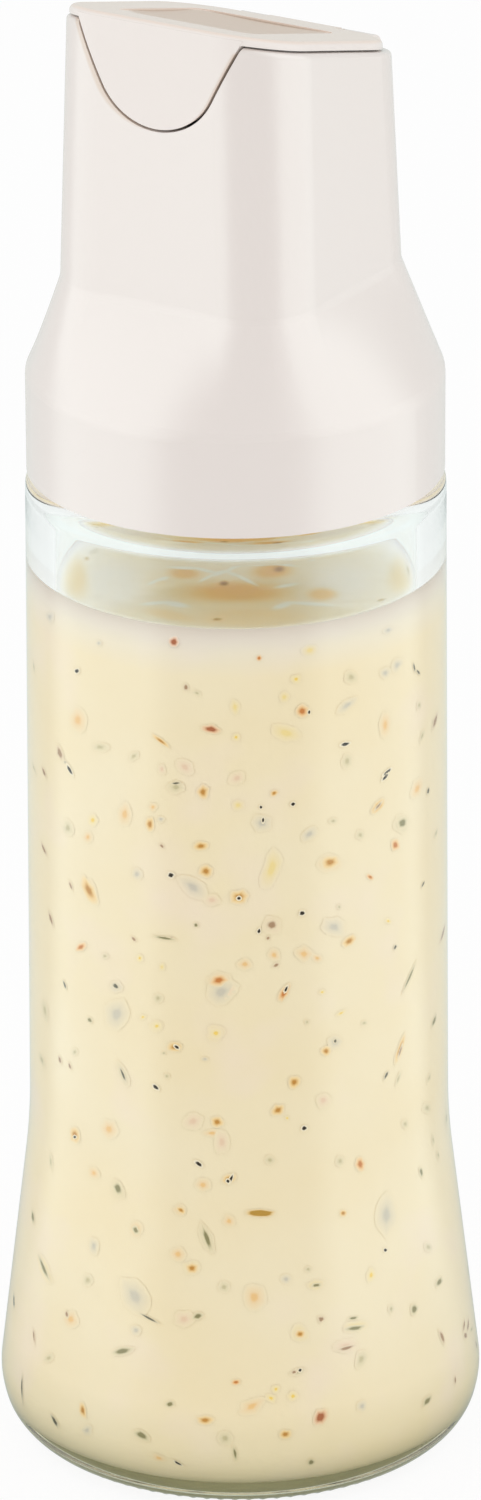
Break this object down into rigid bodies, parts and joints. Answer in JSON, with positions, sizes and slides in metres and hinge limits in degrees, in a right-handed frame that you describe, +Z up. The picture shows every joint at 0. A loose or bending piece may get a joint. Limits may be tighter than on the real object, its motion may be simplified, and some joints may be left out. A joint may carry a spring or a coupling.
{
  "type": "salad dressing shaker bottle",
  "caption": "Clear glass bottle with a flared foot, herb dressing inside, and a cream screw cap with a slanted flip lid over a notched pouring spout.",
  "frame": {"origin": "middle of the bottle's base, on the surface that it stands on", "axes": "+Z up along the bottle's axis; -Y towards the pouring notch; +Y towards the lid's hinge"},
  "size_m": [0.0732, 0.0732, 0.2286],
  "materials": {
    "clear_glass": "clear polished glass",
    "dressing": "opaque creamy liquid with herb flecks",
    "cap_plastic": "satin moulded cream plastic",
    "inner_plastic": "natural moulded plastic",
    "silicone": "translucent food-grade silicone",
    "steel": "drawn stainless steel wire"
  },
  "bodies": {
    "bottle": {"glass_bottle": "clear_glass", "dressing_fill": "dressing"},
    "seal_ring": {"neck_gasket": "silicone"},
    "cap": {"threaded_collar": "inner_plastic", "cap_shell": "cap_plastic", "pour_insert": "inner_plastic", "hinge_pin": "steel"},
    "lid": {"lid_shell": "cap_plastic", "lid_liner": "inner_plastic", "spout_seal": "silicone"}
  },
  "joints": [
    {"name": "cap_lift", "type": "slide", "parent": "bottle", "child": "seal_ring", "axis": [0, 0, 1], "range_m": [0, 0.005]},
    {"name": "cap_turn", "type": "hinge", "parent": "seal_ring", "child": "cap", "pos_m": [0, 0, 0.168], "axis": [0, 0, 1], "range_deg": [0, 450]},
    {"name": "lid_hinge", "type": "hinge", "parent": "cap", "child": "lid", "pos_m": [0, 0.0203, 0.21497], "axis": [-1, 0, 0], "range_deg": [0, 110]}
  ],
  "couplings": [
    {"joint": "cap_lift", "follows": "cap_turn", "m_per_rad": 0.0006366}
  ]
}
